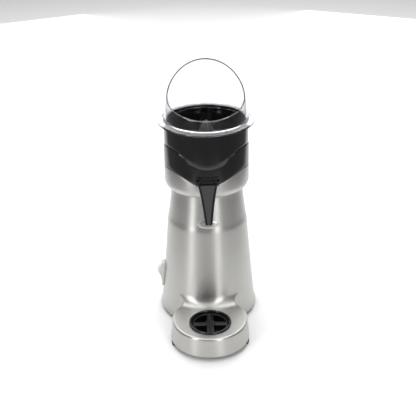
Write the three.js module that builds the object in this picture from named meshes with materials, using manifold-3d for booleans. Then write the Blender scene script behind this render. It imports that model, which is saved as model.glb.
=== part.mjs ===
// Citrus press juicer: a tall tapered steel body with a round tray in front, a motor inside,
// and a black bowl with spout, strainer, reamer and clear splash hood on top.
// Millimetres, +Z up. The front faces -Y and the motor axis is vertical.

import * as THREE from 'three';
import { LoftGeometry } from 'three/addons/geometries/LoftGeometry.js';
import { mergeVertices } from 'three/addons/utils/BufferGeometryUtils.js';
import Module from 'manifold-3d';

const wasm = await Module();
wasm.setup();

// ---------------------------------------------------------------- driving dimensions

const GAP = 0.3; // clearance between pieces that touch
const SHEET = 1.5; // steel sheet of the body
const FACETS = 36; // sides of the large round pieces

const BASE_Z = 9; // underside of the body, on its rubber feet
const TRAY_TOP = 46;
const TRAY_R = 73.8; // tray at its foot
const TRAY_DRAFT = 3.2; // how much the tray's wall leans in on its way up
const TRAY_EDGE = 3.6; // rounding of the tray's top edge
const TRAY_Y = -132; // tray centre, in front of the motor axis
const NECK_R = 9; // hollow rounding between the tray and the body, seen from above
const FILLET_R = 20; // hollow rounding where the body rises out of the tray

// outer radius of the body at each height
const BODY_PROFILE = [
  [95.8, 9], [93.4, 15], [91.8, 24], [86, 82], [79, 160], [76.4, 197], [74.4, 204], [71.9, 221],
  [67.6, 256], [66.6, 272],
];
const BODY_TOP = 272;

const RIM_Z = 394; // bowl rim
const BOWL_R = 78.6;
const BOWL_WALL = 3.6;
const COLLAR_R = 79.6;
const COLLAR_LOW = 265; // underside of the collar
const DECK_Z = 289; // top of the deck plate that the bowl stands on
const LEDGE_Z = 379; // ledge inside the bowl that carries the strainer

const CUP_Y = -148.4; // drip cup centre
const CUP_FLANGE_R = 39.7;
const CUP_R = 36;
const CUP_FLOOR = 20;

const SPOUT_PIVOT = { y: -91, z: 304 };
const SPOUT_TIP = { y: -146, z: 250 };
const SPOUT_ROOT_W = 40;
const SPOUT_TIP_W = 13;
const MOUTH_Z = 308; // lip of the bowl over the spout
const LUG_IN = 13.2; // the bowl's lugs stand inside the chute's walls
const LUG_OUT = 16.2;

const SHAFT_R = 6;
const SHAFT_TOP = 373;
const BOWL_HUB_Z = 331; // top of the sleeve round the shaft in the bowl
const STRAINER_FLOOR = 339;
const REAMER_TIP = 391;
const REAMER_TALL = 48;
const RIBS = 10;

const HOOD_R = 77;
const HOOD_WALL = 2;
const HOOD_SPRING = RIM_Z - 3; // the dome swells in from here
const HOOD_TALL = 115.3; // dome above that, were it not cut open
const HOOD_POWER = 2.27; // of the dome's superellipse

const SWITCH_Z = 69;
const SWITCH_H = 54;
const SWITCH_W = 24;
const SWITCH_FACE_X = -93;
const ROCKER_PIVOT_X = -84;
const ROCKER_REACH = 16.91; // from its pivot to the crest of its proud half

// ---------------------------------------------------------------- materials

function metal(color, roughness) {
  return new THREE.MeshStandardMaterial({ color, roughness, metalness: 1 });
}

function plastic(color, roughness) {
  return new THREE.MeshStandardMaterial({ color, roughness, metalness: 0 });
}

const MATERIALS = {
  brushedSteel: metal(0xb9b7b0, 0.35),
  satinAlloy: metal(0xc4c3be, 0.45),
  plainSteel: metal(0x9a9a98, 0.5),
  motorIron: metal(0x5d5f63, 0.6),
  copper: metal(0xb06a3a, 0.5),
  blackGloss: plastic(0x0c0b0c, 0.12),
  blackMatt: plastic(0x141415, 0.5),
  darkGrey: plastic(0x3a3a3c, 0.4),
  silverGrey: plastic(0xc9c9c6, 0.3),
  whitePlastic: plastic(0xe6e4dd, 0.5),
  rubber: plastic(0x0e0e0e, 0.85),
  clear: new THREE.MeshStandardMaterial({
    color: 0xe9e7f2, roughness: 0.05, metalness: 0, transparent: true, opacity: 0.3,
  }),
};

// ---------------------------------------------------------------- solids

// closed geometry -> manifold solid; a mesh drawn inside out is turned the right way
function solid(geometry) {
  const bare = new THREE.BufferGeometry();
  bare.setAttribute('position', geometry.attributes.position);
  bare.setIndex(geometry.index);
  const merged = mergeVertices(bare, 1e-4);
  const vertProperties = new Float32Array(merged.attributes.position.array);
  const corners = Array.from(merged.index.array);
  const triVerts = [];
  let volume = 0;
  const a = new THREE.Vector3();
  const b = new THREE.Vector3();
  const c = new THREE.Vector3();
  for (let i = 0; i < corners.length; i += 3) {
    const [p, q, r] = corners.slice(i, i + 3);
    if (p === q || q === r || r === p) continue;
    a.fromArray(vertProperties, 3 * p);
    b.fromArray(vertProperties, 3 * q);
    c.fromArray(vertProperties, 3 * r);
    volume += a.dot(b.cross(c));
    triVerts.push(p, q, r);
  }
  if (volume < 0) triVerts.reverse();
  return new wasm.Manifold(new wasm.Mesh({
    numProp: 3, vertProperties, triVerts: new Uint32Array(triVerts),
  }));
}

function geometryOf(manifold) {
  const mesh = manifold.getMesh();
  const geometry = new THREE.BufferGeometry();
  const positions = new Float32Array(mesh.numVert * 3);
  for (let i = 0; i < mesh.numVert; i += 1) {
    for (let k = 0; k < 3; k += 1) {
      positions[3 * i + k] = mesh.vertProperties[mesh.numProp * i + k];
    }
  }
  geometry.setAttribute('position', new THREE.BufferAttribute(positions, 3));
  geometry.setIndex(new THREE.BufferAttribute(new Uint32Array(mesh.triVerts), 1));
  geometry.computeVertexNormals();
  return geometry;
}

// [radius, height] points turned about the Z axis
function spun(points, facets = FACETS, x = 0, y = 0) {
  const profile = points.map(([r, z]) => new THREE.Vector2(r, z));
  return solid(new THREE.LatheGeometry(profile, facets).rotateX(Math.PI / 2).translate(x, y, 0));
}

// ring with a closed cross-section, such as a washer or a bearing
function washer(inner, outer, low, high, facets = 24, x = 0, y = 0) {
  return spun([[inner, low], [outer, low], [outer, high], [inner, high], [inner, low]], facets, x, y);
}

function rod(radius, low, high, x = 0, y = 0, facets = 18) {
  return spun([[0, low], [radius, low], [radius, high], [0, high]], facets, x, y);
}

// rod along X or Y between two coordinates
function crossRod(radius, from, to, axis, [u, z], facets = 20) {
  const geometry = new THREE.CylinderGeometry(radius, radius, to - from, facets);
  const middle = (from + to) / 2;
  if (axis === 'x') return solid(geometry.rotateZ(Math.PI / 2).translate(middle, u, z));
  return solid(geometry.translate(u, middle, z));
}

// box between two corners
function block([x0, y0, z0], [x1, y1, z1]) {
  const geometry = new THREE.BoxGeometry(x1 - x0, y1 - y0, z1 - z0);
  return solid(geometry.translate((x0 + x1) / 2, (y0 + y1) / 2, (z0 + z1) / 2));
}

function loft(sections, capped = true) {
  return solid(new LoftGeometry(sections, { capStart: capped, capEnd: capped }));
}

// loft whose two ends are closed by fans that meet in their middles
function fanLoft(sections) {
  const collapsed = (section) => {
    const middle = section.reduce((sum, p) => sum.add(p), new THREE.Vector3());
    middle.divideScalar(section.length);
    return section.map(() => middle.clone());
  };
  return loft([collapsed(sections[0]), ...sections, collapsed(sections.at(-1))], false);
}

// ring whose cross-section changes around the axis: profileAt(angle) gives its closed [r, z] points,
// with the angle in degrees from the front
function wavyRing(profileAt, steps = FACETS) {
  const sections = [];
  for (let i = 0; i <= steps; i += 1) {
    const degrees = (360 * (i % steps)) / steps;
    const angle = THREE.MathUtils.degToRad(degrees);
    const fromFront = degrees > 180 ? degrees - 360 : degrees;
    sections.push(profileAt(fromFront).map(([r, z]) => (
      new THREE.Vector3(r * Math.sin(angle), -r * Math.cos(angle), z)
    )));
  }
  return loft(sections, false);
}

// rounded rectangle in the Y-Z plane, extruded along X
function plateX(width, height, radius, x0, x1, z) {
  const shape = new THREE.Shape();
  const w = width / 2 - radius;
  const h = height / 2 - radius;
  shape.absarc(w, h, radius, 0, Math.PI / 2);
  shape.absarc(-w, h, radius, Math.PI / 2, Math.PI);
  shape.absarc(-w, -h, radius, Math.PI, 1.5 * Math.PI);
  shape.absarc(w, -h, radius, 1.5 * Math.PI, 2 * Math.PI);
  const geometry = new THREE.ExtrudeGeometry(shape, {
    depth: x1 - x0, bevelEnabled: false, curveSegments: 5,
  });
  return solid(geometry.rotateX(Math.PI / 2).rotateZ(Math.PI / 2).translate(x0, 0, z));
}

// ---------------------------------------------------------------- shared outlines

// Height of the styled edges of the bowl and the collar: lowest at the front, a crest on each side,
// then level towards the back.
function wave(fromFront, valley, crest, back) {
  const angle = Math.abs(fromFront);
  const crestAt = 57;
  const backAt = 117;
  if (angle <= crestAt) {
    return valley + ((crest - valley) * (1 - Math.cos((Math.PI * angle) / crestAt))) / 2;
  }
  if (angle >= backAt) return back;
  const fade = (1 + Math.cos((Math.PI * (angle - crestAt)) / (backAt - crestAt))) / 2;
  return back + (crest - back) * fade;
}

const collarEdge = (angle) => wave(angle, 291, 311, 296);
const bowlLine = (angle) => wave(angle, 329, 355, 343);

function bodyRadius(z) {
  const above = BODY_PROFILE.findIndex(([, height]) => height >= z);
  if (above <= 0) return BODY_PROFILE[Math.max(above, 0)][0];
  const [r0, z0] = BODY_PROFILE[above - 1];
  const [r1, z1] = BODY_PROFILE[above];
  return r0 + ((r1 - r0) * (z - z0)) / (z1 - z0);
}

function trayRadius(z) {
  const draft = (TRAY_DRAFT * (z - BASE_Z)) / (TRAY_TOP - BASE_Z);
  const intoEdge = Math.max(0, z - (TRAY_TOP - TRAY_EDGE));
  const rounding = TRAY_EDGE - Math.sqrt(TRAY_EDGE ** 2 - intoEdge ** 2);
  return TRAY_R - draft - rounding;
}

// Plan of body and tray together at one height: two circles joined by a hollow rounding on each side.
// A tuck draws the body's circle in, so that the round body swallows it.
function footprint(z, inset, tuck) {
  const body = bodyRadius(z) - inset - tuck;
  const tray = trayRadius(z) - inset;
  const neck = NECK_R + inset;
  const span = -TRAY_Y;
  const toBody = body + neck;
  const toTray = tray + neck;
  const along = (span ** 2 + toBody ** 2 - toTray ** 2) / (2 * span);
  const aside = Math.sqrt(toBody ** 2 - along ** 2);
  const trayTurn = Math.atan2(aside, span - along);
  const bodyTurn = Math.atan2(aside, along);
  const points = [];
  const arc = (cx, cy, radius, from, to, steps, last) => {
    for (let i = 0; i < steps + (last ? 1 : 0); i += 1) {
      const turn = from + ((to - from) * i) / steps;
      points.push([cx + radius * Math.sin(turn), cy - radius * Math.cos(turn)]);
    }
  };
  arc(0, TRAY_Y, tray, 0, Math.PI - trayTurn, 14, false);
  arc(aside, -along, neck, -trayTurn, -Math.PI + bodyTurn, 5, false);
  arc(0, 0, body, bodyTurn, Math.PI, 4, true);
  const mirrored = points.slice(1, -1).reverse().map(([x, y]) => [-x, y]);
  return points.concat(mirrored).map(([x, y]) => new THREE.Vector3(x, y, z));
}

function atHeight(points, z) {
  return points.map((p) => new THREE.Vector3(p.x, p.y, z));
}

// ---------------------------------------------------------------- body

function bodyOutside(grown) {
  const wall = BODY_PROFILE.map(([r, z]) => [r + grown, z]);
  return spun([[0, BASE_Z], ...wall, [0, BODY_TOP]]);
}

function makeBodyShell() {
  const edge = [0, 0.5, 0.85].map((t) => TRAY_TOP - TRAY_EDGE + TRAY_EDGE * t);
  const outer = [BASE_Z, ...edge].map((z) => footprint(z, 0, 3));
  const overTray = footprint(TRAY_TOP - 0.15 * TRAY_EDGE, 1.5, 3);
  outer.push(atHeight(overTray, TRAY_TOP));
  const fillet = [[60, TRAY_TOP - 2]];
  const lean = 0.1;
  for (let i = 0; i <= 4; i += 1) {
    const turn = (Math.PI / 2 - lean) * (i / 4);
    const foot = bodyRadius(TRAY_TOP + FILLET_R) + FILLET_R * 0.98;
    fillet.push([foot - FILLET_R * Math.sin(turn), TRAY_TOP + FILLET_R * (1 - Math.cos(turn))]);
  }
  fillet.push([60, TRAY_TOP + FILLET_R], [60, TRAY_TOP - 2]);
  const column = loft([atHeight(overTray, TRAY_TOP - 3), atHeight(overTray, 80)]);
  let shell = loft(outer).add(bodyOutside(0)).add(spun(fillet).intersect(column));

  const innerTop = TRAY_TOP - SHEET;
  const inside = [BASE_Z - 2, TRAY_TOP - TRAY_EDGE].map((z) => (
    atHeight(footprint(Math.max(z, BASE_Z), SHEET, 5), z)
  ));
  inside.push(atHeight(footprint(TRAY_TOP - TRAY_EDGE, SHEET + 2, 5), innerTop));
  const bore = BODY_PROFILE.map(([r, z]) => [r - SHEET, z]);
  bore[0][1] = BASE_Z - 2;
  bore[bore.length - 1][1] = BODY_TOP + 2;
  const boreSolid = spun([[0, BASE_Z - 2], ...bore, [0, BODY_TOP + 2]]);
  shell = shell.subtract(loft(inside)).subtract(boreSolid);
  shell = shell.subtract(rod(CUP_R + 0.8, 30, 60, 0, CUP_Y, 40));
  shell = shell.subtract(plateX(SWITCH_W - 6, SWITCH_H - 8, 5, -110, -60, SWITCH_Z));
  return shell.subtract(crossRod(7.4, 70, 110, 'y', [0, 28]));
}

function makeCollar() {
  let collar = wavyRing((angle) => {
    const top = collarEdge(angle);
    return [
      [68.2, COLLAR_LOW], [72.6, COLLAR_LOW + 1.4], [76.4, COLLAR_LOW + 4.4],
      [78.8, COLLAR_LOW + 9.4], [COLLAR_R, COLLAR_LOW + 15],
      [COLLAR_R, top - 0.8], [COLLAR_R - 0.8, top], [77.2, top], [77.2, DECK_Z - 3],
      [60, DECK_Z - 3], [60, DECK_Z - 8], [68.2, DECK_Z - 14],
    ];
  });
  for (const [x, y] of DECK_SCREWS) collar = collar.subtract(rod(2.6, DECK_Z - 20, DECK_Z, x, y, 12));
  return collar;
}

function makeDeckPlate() {
  const top = DECK_Z;
  let deck = spun([
    [14, top - 2.5], [76.8, top - 2.5], [76.8, top], [21, top], [20, top + 12],
    [14, top + 12], [14, top - 2.5],
  ]);
  for (const [x, y] of DECK_SCREWS) deck = deck.subtract(rod(2.6, top - 4, top + 2, x, y, 12));
  return deck;
}

function polar(radius, degrees, y = 0) {
  const angle = THREE.MathUtils.degToRad(degrees);
  return [radius * Math.sin(angle), y - radius * Math.cos(angle)];
}

const FOOT_TURN = 76; // of the front feet about the tray's centre, from straight ahead
const DECK_SCREWS = [polar(65, 60), polar(65, 180), polar(65, 300)];
const FEET = {
  foot_front_left: polar(66.5, -FOOT_TURN, TRAY_Y),
  foot_front_right: polar(66.5, FOOT_TURN, TRAY_Y),
  foot_rear_left: polar(84, -130),
  foot_rear_right: polar(84, 130),
};
const BASE_SCREWS = [polar(58, 0, TRAY_Y), polar(80, -85), polar(80, 85), polar(80, 160)];

function makePanScrew(x, y, headTop, shankEnd, drop) {
  const head = drop ? -1 : 1;
  const low = headTop - 2.2 * head;
  const ends = [low, shankEnd].sort((a, b) => a - b);
  const crown = drop
    ? [[0, headTop], [3, headTop], [4.4, headTop + 0.9], [4.4, low], [0, low]]
    : [[0, low], [4.4, low], [4.4, headTop - 0.9], [3, headTop], [0, headTop]];
  const shank = rod(2.2, ends[0] - 0.05, ends[1] + 0.05, x, y, 12);
  const slot = block([x - 2.6, y - 0.5, headTop - 0.9], [x + 2.6, y + 0.5, headTop + 0.9]);
  return spun(crown, 12, x, y).add(shank).subtract(slot);
}

function makeBasePlate() {
  const low = BASE_Z + 0.6;
  const outline = footprint(BASE_Z + 6, SHEET + 1.6, 5);
  let plate = loft([atHeight(outline, low), atHeight(outline, low + 2)]);
  plate = plate.add(rod(bodyRadius(BASE_Z + 6) - SHEET - 1.6, low, low + 2, 0, 0, FACETS));
  for (const [x, y] of Object.values(FEET)) plate = plate.subtract(rod(3.4, 0, 20, x, y, 16));
  for (const [x, y] of BASE_SCREWS) plate = plate.subtract(rod(2.6, 0, 20, x, y, 12));
  for (let i = -2; i <= 2; i += 1) {
    plate = plate.subtract(block([i * 11 - 2.4, -26, 0], [i * 11 + 2.4, 26, 20]));
  }
  return plate;
}

function makeFoot(x, y) {
  const seat = BASE_Z - GAP;
  const stem = BASE_Z + 4.5;
  return spun([[0, 0], [7.2, 0], [8, 1], [8, seat], [3, seat], [3, stem], [0, stem]], 18, x, y);
}

function makeBadge() {
  // blank oval plate standing 0.8 off the body's front
  const shape = new THREE.Shape();
  shape.absellipse(0, 0, 19.5, 7, 0, 2 * Math.PI);
  const oval = new THREE.ExtrudeGeometry(shape, { depth: 20, bevelEnabled: false, curveSegments: 14 });
  const prism = solid(oval.rotateX(Math.PI / 2).translate(0, -60, 212));
  return prism.intersect(bodyOutside(1.4)).subtract(bodyOutside(GAP));
}

function makeCordGland() {
  const barrel = crossRod(7, 80, 97.4, 'y', [0, 28], 20);
  const flange = crossRod(9.6, 93, 95.4, 'y', [0, 28], 20);
  return barrel.add(flange).subtract(crossRod(3.6, 70, 110, 'y', [0, 28], 20));
}

// ---------------------------------------------------------------- switch

function makeSwitchBezel() {
  const frame = plateX(SWITCH_W, SWITCH_H, 8, SWITCH_FACE_X, -78, SWITCH_Z);
  const outside = frame.subtract(bodyOutside(GAP));
  const neck = plateX(SWITCH_W - 7, SWITCH_H - 9, 4.5, SWITCH_FACE_X + 1, -72, SWITCH_Z);
  return outside.add(neck).subtract(plateX(13.6, 44, 2, -120, -60, SWITCH_Z));
}

function makeSwitchBody() {
  const box = block([-71.6, -8, SWITCH_Z - 22], [-52, 8, SWITCH_Z + 22]);
  const tabs = [-12, 0, 12].map((z) => (
    block([-53, -3, SWITCH_Z + z - 0.4], [-44, 3, SWITCH_Z + z + 0.4])
  ));
  return tabs.reduce((sum, tab) => sum.add(tab), box);
}

function makeRocker() {
  // side view: round ends about the pivot, and a front that stands proud above the middle
  const radius = 21;
  const shape = new THREE.Shape();
  shape.moveTo(-9.4, -18.7);
  shape.quadraticCurveTo(-10.6, -4, -14.6, 2);
  shape.quadraticCurveTo(-18.6, 8, -15.8, 13.8);
  shape.absarc(0, 0, radius, Math.PI - 0.72, Math.PI / 2 + 0.1, true);
  shape.lineTo(3, 12);
  shape.lineTo(3, -12);
  shape.absarc(0, 0, radius, -Math.PI / 2 - 0.1, -Math.PI / 2 - 0.46, true);
  const geometry = new THREE.ExtrudeGeometry(shape, {
    depth: 12.8, bevelEnabled: false, curveSegments: 6,
  });
  return solid(geometry.rotateX(Math.PI / 2).translate(ROCKER_PIVOT_X, 6.4, SWITCH_Z));
}

// ---------------------------------------------------------------- motor

function makeShaft() {
  let shaft = spun([
    [0, 92], [5, 92], [SHAFT_R, 93], [SHAFT_R, SHAFT_TOP - 1], [5, SHAFT_TOP], [0, SHAFT_TOP],
  ], 20);
  for (const side of [-1, 1]) {
    const flat = side * 4.6;
    const far = side * 10;
    shaft = shaft.subtract(block(
      [Math.min(flat, far), -10, SHAFT_TOP - 26], [Math.max(flat, far), 10, SHAFT_TOP + 2],
    ));
  }
  return shaft;
}

function makeFan() {
  let fan = washer(SHAFT_R + GAP, 15, 97, 111, 20).add(washer(14, 46, 97, 98.6, 28));
  for (let i = 0; i < 7; i += 1) {
    const blade = new THREE.BoxGeometry(31, 1.6, 12.6).translate(29.5, 0, 104.7);
    fan = fan.add(solid(blade.rotateZ((2 * Math.PI * i) / 7)));
  }
  return fan;
}

// end bracket: a dish that holds a bearing; facing +1 opens upwards, -1 downwards
function makeBracket(seat, facing) {
  const at = (d) => seat + facing * d;
  return spun([
    [16.4, at(0)], [54, at(0)], [54, at(5)], [22, at(5)], [21, at(13)], [16.4, at(13)], [16.4, at(0)],
  ], 28);
}

function makeStator() {
  const stack = washer(29.4, 56, 150, 210, 28);
  return stack.intersect(block([-51, -51, 140], [51, 51, 220]));
}

function makeMotorMount() {
  let plate = washer(24, 65.4, 250, 252.4, FACETS);
  for (const [x, y] of DAMPERS) plate = plate.subtract(rod(3.2, 240, 260, x, y, 12));
  return plate;
}

const DAMPERS = [polar(42, 30), polar(42, 150), polar(42, 270)];

function makeDamper(x, y) {
  return spun([
    [0, 235.3], [7, 235.3], [7.6, 238], [7.6, 247], [7, 249.7], [2.9, 249.7], [2.9, 255], [0, 255],
  ], 18, x, y);
}

function makeCapacitor() {
  return spun([[0, 15], [16, 15], [17, 16], [17, 75], [15, 76], [4, 76], [4, 81], [0, 81]], 20, 40, 34);
}

function makeTerminalBlock() {
  let box = block([-58, 30, 13], [-18, 46, 29]);
  for (let i = 0; i < 4; i += 1) {
    box = box.subtract(rod(2.6, 24, 34, -53 + 10 * i, 38, 10));
  }
  return box;
}

// ---------------------------------------------------------------- bowl, spout and strainer

// how far the bowl's lower wall stands out in front, towards the spout
function prow(angle) {
  return 5 * Math.exp(-((angle / 24) ** 2));
}

function makeBowl() {
  const inner = BOWL_R - BOWL_WALL;
  let bowl = wavyRing((angle) => {
    const line = bowlLine(angle);
    const low = collarEdge(angle) + 1;
    const out = BOWL_R + 0.8 + prow(angle);
    const floor = 305 - 5 * Math.cos(THREE.MathUtils.degToRad(angle));
    const middle = 309;
    return [
      [9.4, middle - 3], [72.6, floor - 3], [72.6, DECK_Z + GAP], [76.2, DECK_Z + GAP], [76.2, low],
      [out - 1.2, low], [out, low + 1.2], [out, line - 0.8 * (out - BOWL_R + 0.7)], [BOWL_R - 0.7, line],
      [BOWL_R, RIM_Z - 1.5], [BOWL_R - 1, RIM_Z], [inner + 0.6, RIM_Z], [inner + 0.2, LEDGE_Z],
      [inner - 4, LEDGE_Z - 0.6], [inner - 4, LEDGE_Z - 4], [inner - 1.6, LEDGE_Z - 7],
      [inner - 2.4, floor + 3], [inner - 6, floor], [12.6, middle], [12.6, BOWL_HUB_Z], [9.4, BOWL_HUB_Z],
    ];
  }, 40);
  bowl = bowl.subtract(block([-12.5, -96, 300.8], [12.5, -66, MOUTH_Z - 0.8]));
  const slotHalf = SPOUT_ROOT_W / 2 + 0.6;
  bowl = bowl.subtract(block([-slotHalf, -110, DECK_Z - 6], [slotHalf, -83.4, MOUTH_Z]));
  const rib = block([-3, 71.5, LEDGE_Z - 1], [3, 75.2, RIM_Z - 1]);
  bowl = bowl.add(rib);
  // a lug inside each side of the chute carries the pin that the chute turns on
  for (const side of [-1, 1]) {
    const [from, to] = [side * LUG_IN, side * LUG_OUT].sort((a, b) => a - b);
    const [pinFrom, pinTo] = [side * (LUG_IN + 1), side * (SPOUT_ROOT_W / 2)].sort((a, b) => a - b);
    const { y, z } = SPOUT_PIVOT;
    const lug = crossRod(3.8, from, to, 'x', [y, z], 24);
    const arm = block([from, y, z - 3.4], [to, -82.6, z + 3.4]);
    bowl = bowl.add(arm).add(lug).add(crossRod(2, pinFrom, pinTo, 'x', [y, z], 20));
  }
  return bowl;
}

// the chute: a channel that narrows to its tip, with round ears that turn on the bowl's pins
function makeSpout() {
  const fall = new THREE.Vector3(0, SPOUT_TIP.y - SPOUT_PIVOT.y, SPOUT_TIP.z - SPOUT_PIVOT.z);
  const up = new THREE.Vector3(0, fall.z, -fall.y).normalize();
  const stations = [0.0, 0.12, 0.3, 0.55, 0.8, 1];
  const sections = stations.map((t) => {
    const half = (SPOUT_ROOT_W + (SPOUT_TIP_W - SPOUT_ROOT_W) * t ** 0.65) / 2;
    const deep = 9.5 - 3 * t;
    const wall = 2;
    const centre = new THREE.Vector3(0, SPOUT_PIVOT.y, SPOUT_PIVOT.z).addScaledVector(fall, t);
    const channel = [
      [-half, 2], [-half + 1.5, -deep], [half - 1.5, -deep], [half, 2],
      [half - wall, 2], [half - wall - 1.2, -deep + wall], [-half + wall + 1.2, -deep + wall],
      [-half + wall, 2],
    ];
    return channel.map(([x, h]) => centre.clone().addScaledVector(up, h).setX(x));
  });
  let spout = loft(sections);
  const half = SPOUT_ROOT_W / 2;
  for (const side of [-1, 1]) {
    const [from, to] = [side * half, side * (half - 2)].sort((a, b) => a - b);
    spout = spout.add(crossRod(4, from, to, 'x', [SPOUT_PIVOT.y, SPOUT_PIVOT.z], 24));
  }
  return spout.subtract(crossRod(2.3, -30, 30, 'x', [SPOUT_PIVOT.y, SPOUT_PIVOT.z], 20));
}

function makeStrainer() {
  const low = STRAINER_FLOOR;
  const rim = LEDGE_Z + GAP;
  let strainer = spun([
    [14, low], [60, low], [67.4, rim], [74.6, rim], [74.6, rim + 2], [66, rim + 2], [58.6, low + 2],
    [17, low + 2], [16, low + 4], [14, low + 4], [14, low],
  ]);
  strainer = strainer.add(washer(14, 16.4, low - 10, low + 1, 32));
  for (let i = 0; i < 16; i += 1) {
    const slot = new THREE.BoxGeometry(18, 2.2, 8).translate(47, 0, low);
    strainer = strainer.subtract(solid(slot.rotateZ((Math.PI * (2 * i + 1)) / 16)));
  }
  return strainer.subtract(block([-3.6, 71, rim - 2], [3.6, 78, rim + 4]));
}

// radius of the reamer's ribs and valleys at a depth below its tip
function reamerRadius(depth) {
  const bullet = 3 * Math.sqrt(depth) * (1 - Math.exp(-depth / 2));
  const flare = 17 * Math.exp((depth - REAMER_TALL) / 7);
  return 1 + bullet * (1 - (0.1 * depth) / REAMER_TALL) + flare;
}

function makeReamer() {
  const depths = [0, 2, 6, 13, 24, 36, 43, REAMER_TALL];
  const around = RIBS * 4;
  const sections = depths.map((depth) => {
    const outer = reamerRadius(depth);
    const groove = 0.3 * outer * Math.min(1, depth / 6) * Math.min(1, (REAMER_TALL + 1 - depth) / 9);
    return Array.from({ length: around }, (_, i) => {
      const turn = (2 * Math.PI * i) / around;
      const crest = Math.abs(Math.cos((RIBS * turn) / 2)) ** 0.8;
      const r = outer - groove * (1 - crest);
      return new THREE.Vector3(r * Math.cos(turn), r * Math.sin(turn), REAMER_TIP - depth);
    });
  });
  const low = REAMER_TIP - REAMER_TALL;
  const hollow = spun([
    [0, low - 10], [29, low - 10], [29, low + 1], [17, low + 10], [10, low + 31], [0, low + 33],
  ], 32);
  return fanLoft(sections).subtract(hollow);
}

function makeDriveInsert() {
  const top = SHAFT_TOP + 0.4;
  let insert = spun([[0, top - 18.4], [8.6, top - 18.4], [8.6, top], [0, top]], 20);
  insert = insert.intersect(spun([[0, top - 30], [15.2, top - 20.4], [9.4, top], [0, top]], 32));
  const socket = rod(SHAFT_R + GAP, top - 30, SHAFT_TOP + GAP, 0, 0, 28);
  return insert.subtract(socket.intersect(block([-4.9, -10, top - 40], [4.9, 10, SHAFT_TOP + GAP])));
}

// ---------------------------------------------------------------- hood, drip cup and grid

// superellipse from a height up to the top of the dome
function domeProfile(radius, tall, low) {
  const points = [];
  for (let i = 0; i <= 12; i += 1) {
    const share = Math.sin((Math.PI / 2) * (i / 12));
    const z = low + (HOOD_SPRING + tall - low) * share;
    const up = (z - HOOD_SPRING) / tall;
    points.push([radius * Math.max(0, 1 - up ** HOOD_POWER) ** (1 / HOOD_POWER), z]);
  }
  points.at(-1)[0] = 0;
  return points;
}

// height of the opening's edge at a distance behind the hood's front: low and nearly level at first,
// then ever steeper
function openingEdge(behind) {
  const u = behind / 100;
  return 413.6 + 41.8 * u - 40.9 * u ** 2 + 60 * u ** 3;
}

function makeHood() {
  const seat = RIM_Z + GAP;
  const brim = spun([
    [0, seat], [80, seat], [84, seat - 1.4], [89, seat - 3.6], [89, seat - 1.6], [84.6, seat + 0.8],
    ...domeProfile(HOOD_R, HOOD_TALL, seat + 2.2),
  ]);
  const skirt = spun([[0, RIM_Z - 5], [74, RIM_Z - 5], [74.6, RIM_Z - 4], [74.6, seat + 1], [0, seat + 1]]);
  const inside = domeProfile(HOOD_R - HOOD_WALL, HOOD_TALL - HOOD_WALL, seat + 3);
  const hollow = spun([[0, RIM_Z - 8], [72.4, RIM_Z - 8], [72.4, seat + 1], ...inside]);
  const opening = new THREE.Shape();
  opening.moveTo(-140, openingEdge(0));
  for (let i = 0; i <= 14; i += 1) {
    const behind = 10 * i;
    opening.lineTo(behind - HOOD_R, openingEdge(behind));
  }
  opening.lineTo(100, 700);
  opening.lineTo(-140, 700);
  const cutter = new THREE.ExtrudeGeometry(opening, { depth: 240, bevelEnabled: false });
  const cut = solid(cutter.rotateX(Math.PI / 2).rotateZ(Math.PI / 2).translate(-120, 0, 0));
  const keyway = block([-3.6, 70, RIM_Z - 8], [3.6, 80, RIM_Z - 0.5]);
  return brim.add(skirt).subtract(hollow).subtract(cut).subtract(keyway);
}

function makeDripCup() {
  return spun([
    [0, CUP_FLOOR], [CUP_R - 3, CUP_FLOOR], [CUP_R, CUP_FLOOR + 3], [CUP_R, TRAY_TOP + GAP],
    [CUP_FLANGE_R - 0.6, TRAY_TOP + GAP], [CUP_FLANGE_R, TRAY_TOP + 1], [CUP_FLANGE_R - 1, TRAY_TOP + 3.4],
    [CUP_FLANGE_R - 3.4, TRAY_TOP + 3.8], [34.8, TRAY_TOP + 2.6], [34.4, 42], [32.2, 41.8], [32.2, CUP_FLOOR + 4],
    [30.6, CUP_FLOOR + 2], [0, CUP_FLOOR + 2],
  ], 36, 0, CUP_Y);
}

function makeDripGrid() {
  // four gabled arms between a hub and a ring
  let grid = washer(29.6, 34, 42.4, 45.4, 36, 0, CUP_Y);
  const gable = new THREE.Shape([[-6.6, 42.4], [6.6, 42.4], [6.6, 44.4], [0, 47], [-6.6, 44.4]].map(
    ([x, z]) => new THREE.Vector2(x, z),
  ));
  for (let i = 0; i < 4; i += 1) {
    const arm = new THREE.ExtrudeGeometry(gable, { depth: 27.6, bevelEnabled: false });
    arm.rotateX(Math.PI / 2).translate(0, -4, 0).rotateZ((Math.PI * i) / 2);
    grid = grid.add(solid(arm.translate(0, CUP_Y, 0)));
  }
  return grid.add(spun([[0, 42.4], [10.5, 42.4], [10.5, 45], [8.5, 46.6], [0, 46.6]], 28, 0, CUP_Y));
}

// ---------------------------------------------------------------- assembly

const juicer = new THREE.Group();

function add(name, manifold, material) {
  const mesh = new THREE.Mesh(geometryOf(manifold), MATERIALS[material].clone());
  mesh.name = name;
  juicer.add(mesh);
}

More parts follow.
